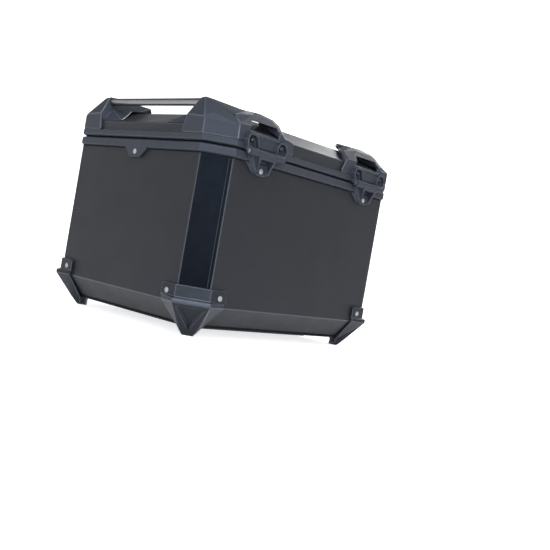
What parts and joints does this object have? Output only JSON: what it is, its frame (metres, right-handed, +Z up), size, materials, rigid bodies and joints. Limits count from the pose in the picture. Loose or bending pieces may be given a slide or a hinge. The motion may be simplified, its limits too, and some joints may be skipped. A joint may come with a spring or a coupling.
{
  "type": "motorcycle top case",
  "caption": "Box-shaped aluminium motorcycle top case with chamfered corners, a hinged lid with tie-down tubes, two latches with key locks and corner guards.",
  "frame": {"origin": "on the ground under the middle of the case, which stands on the tips of its corner guards", "axes": "+Z up, +Y towards the front of the motorcycle, +X to its right, where the lid's hinges are"},
  "size_m": [0.392, 0.4354, 0.3395],
  "materials": {
    "black_aluminium": "black anodised or powder coated aluminium, fine satin",
    "gloss_strip": "glossy near-black strip",
    "black_plastic": "fine-grained satin moulded plastic",
    "lid_aluminium": "satin dark aluminium that catches the light on its slopes",
    "seal_rubber": "matt",
    "rivet_steel": "bright blind rivets",
    "pin_steel": "bright steel pin",
    "lock_steel": "satin steel lock face",
    "dark_screw": "blackened steel button heads",
    "brushed_tube": "brushed along its length"
  },
  "bodies": {
    "case": {"base_plate": "black_plastic", "body_rim": "black_plastic", "body_shell": "black_aluminium", "corner_guard_front_left": "black_plastic", "corner_guard_front_right": "black_plastic", "corner_guard_rear_left": "black_plastic", "corner_guard_rear_right": "black_plastic", "corner_strip_front_left": "gloss_strip", "corner_strip_front_right": "gloss_strip", "corner_strip_rear_left": "gloss_strip", "corner_strip_rear_right": "gloss_strip", "floor_plate": "black_aluminium", "guard_rivet_front_left_front": "rivet_steel", "guard_rivet_front_left_side": "rivet_steel", "guard_rivet_front_right_front": "rivet_steel", "guard_rivet_front_right_side": "rivet_steel", "guard_rivet_rear_left_rear": "rivet_steel", "guard_rivet_rear_left_side": "rivet_steel", "guard_rivet_rear_right_rear": "rivet_steel", "guard_rivet_rear_right_side": "rivet_steel", "hinge_bracket_front": "black_plastic", "hinge_bracket_front_rivet": "rivet_steel", "hinge_bracket_rear": "black_plastic", "hinge_bracket_rear_rivet": "rivet_steel", "hinge_pin_front": "pin_steel", "hinge_pin_rear": "pin_steel", "latch_bracket_front": "black_plastic", "latch_bracket_front_rivet": "rivet_steel", "latch_bracket_rear": "black_plastic", "latch_bracket_rear_rivet": "rivet_steel", "latch_pin_front": "pin_steel", "latch_pin_rear": "pin_steel", "lid_seal": "seal_rubber", "rim_rivet_front": "rivet_steel", "rim_rivet_rear": "rivet_steel"},
    "lid": {"corner_piece_front_left": "black_plastic", "corner_piece_front_right": "black_plastic", "corner_piece_rear_left": "black_plastic", "corner_piece_rear_right": "black_plastic", "hinge_leaf_front": "black_plastic", "hinge_leaf_front_screw_1": "dark_screw", "hinge_leaf_front_screw_2": "dark_screw", "hinge_leaf_rear": "black_plastic", "hinge_leaf_rear_screw_1": "dark_screw", "hinge_leaf_rear_screw_2": "dark_screw", "latch_keeper_front": "black_plastic", "latch_keeper_front_screw_1": "dark_screw", "latch_keeper_front_screw_2": "dark_screw", "latch_keeper_rear": "black_plastic", "latch_keeper_rear_screw_1": "dark_screw", "latch_keeper_rear_screw_2": "dark_screw", "lid_frame": "black_plastic", "lid_sheet": "lid_aluminium", "lid_tube_front": "brushed_tube", "lid_tube_rear": "brushed_tube"},
    "front_latch": {"latch_flap_front": "black_plastic"},
    "rear_latch": {"latch_flap_rear": "black_plastic"},
    "front_lock": {"lock_barrel_front": "lock_steel"},
    "rear_lock": {"lock_barrel_rear": "lock_steel"}
  },
  "joints": [
    {"name": "lid_hinge", "type": "hinge", "parent": "case", "child": "lid", "pos_m": [0.1905, 0, 0.2701], "axis": [0, 1, 0], "range_deg": [0, 95]},
    {"name": "rear_latch_turn", "type": "hinge", "parent": "case", "child": "rear_latch", "pos_m": [-0.1905, -0.1224, 0.2701], "axis": [0, -1, 0], "range_deg": [0, 115]},
    {"name": "front_latch_turn", "type": "hinge", "parent": "case", "child": "front_latch", "pos_m": [-0.1905, 0.1224, 0.2701], "axis": [0, -1, 0], "range_deg": [0, 115]},
    {"name": "rear_lock_turn", "type": "hinge", "parent": "rear_latch", "child": "rear_lock", "pos_m": [-0.1835, -0.1224, 0.287], "axis": [-1, 0, 0], "range_deg": [0, 90]},
    {"name": "front_lock_turn", "type": "hinge", "parent": "front_latch", "child": "front_lock", "pos_m": [-0.1835, 0.1224, 0.287], "axis": [-1, 0, 0], "range_deg": [0, 90]}
  ]
}
